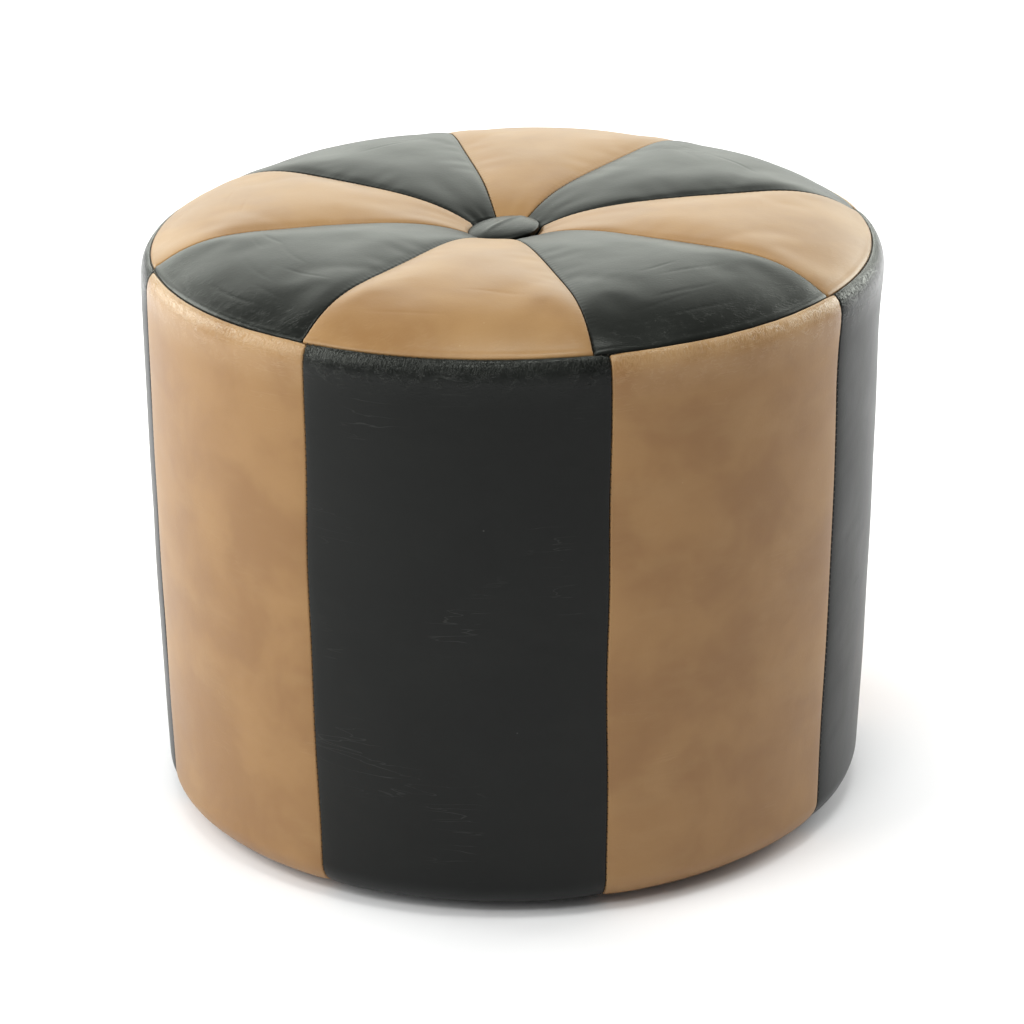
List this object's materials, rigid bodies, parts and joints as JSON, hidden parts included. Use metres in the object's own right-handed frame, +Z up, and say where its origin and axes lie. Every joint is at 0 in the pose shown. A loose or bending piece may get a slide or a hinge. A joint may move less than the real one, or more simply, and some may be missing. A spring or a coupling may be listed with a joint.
{
  "type": "leather pouf",
  "caption": "Round upholstered drum pouf with alternating tan and black leather panels and a sunken covered button in the middle of the seat.",
  "frame": {"origin": "on the floor, under the middle of the drum", "axes": "+Z up along the drum's axis; one seam of the seat runs from the button towards -Y"},
  "size_m": [0.449, 0.449, 0.37],
  "materials": {
    "tan_leather": "smooth tan hide, semi-matt, softly mottled",
    "black_leather": "smooth black hide, semi-matt with a worn gloss at the bends",
    "plywood": "sanded plywood",
    "hardboard": "brown hardboard",
    "pine": "planed softwood",
    "zinc_steel": "bright zinc-plated steel",
    "padding_foam": "open-cell upholstery foam",
    "wadding": "white polyester wadding",
    "twine": "waxed tufting twine",
    "cambric": "black woven dust cloth",
    "glide_plastic": "moulded nylon"
  },
  "bodies": {
    "root": {"top_panel_black_1": "black_leather", "top_panel_tan_2": "tan_leather", "top_panel_black_3": "black_leather", "top_panel_tan_4": "tan_leather", "top_panel_black_5": "black_leather", "top_panel_tan_6": "tan_leather", "top_panel_black_7": "black_leather", "top_panel_tan_8": "tan_leather", "side_panel_tan_1": "tan_leather", "side_panel_black_2": "black_leather", "side_panel_tan_3": "tan_leather", "side_panel_black_4": "black_leather", "side_panel_tan_5": "tan_leather", "side_panel_black_6": "black_leather", "side_panel_tan_7": "tan_leather", "side_panel_black_8": "black_leather", "base_board": "plywood", "seat_board": "plywood", "drum_wall": "hardboard", "post_1": "pine", "base_screw_1": "zinc_steel", "seat_screw_1": "zinc_steel", "post_2": "pine", "base_screw_2": "zinc_steel", "seat_screw_2": "zinc_steel", "post_3": "pine", "base_screw_3": "zinc_steel", "seat_screw_3": "zinc_steel", "post_4": "pine", "base_screw_4": "zinc_steel", "seat_screw_4": "zinc_steel", "side_padding": "padding_foam", "seat_foam": "padding_foam", "seat_wadding": "wadding", "button_cover": "black_leather", "button_shell": "zinc_steel", "button_back": "zinc_steel", "button_eye": "zinc_steel", "button_twine": "twine", "twine_knot": "twine", "twine_toggle": "pine", "dust_cover": "cambric", "glide_1": "glide_plastic", "glide_nail_1": "zinc_steel", "glide_2": "glide_plastic", "glide_nail_2": "zinc_steel", "glide_3": "glide_plastic", "glide_nail_3": "zinc_steel", "glide_4": "glide_plastic", "glide_nail_4": "zinc_steel"}
  },
  "joints": []
}
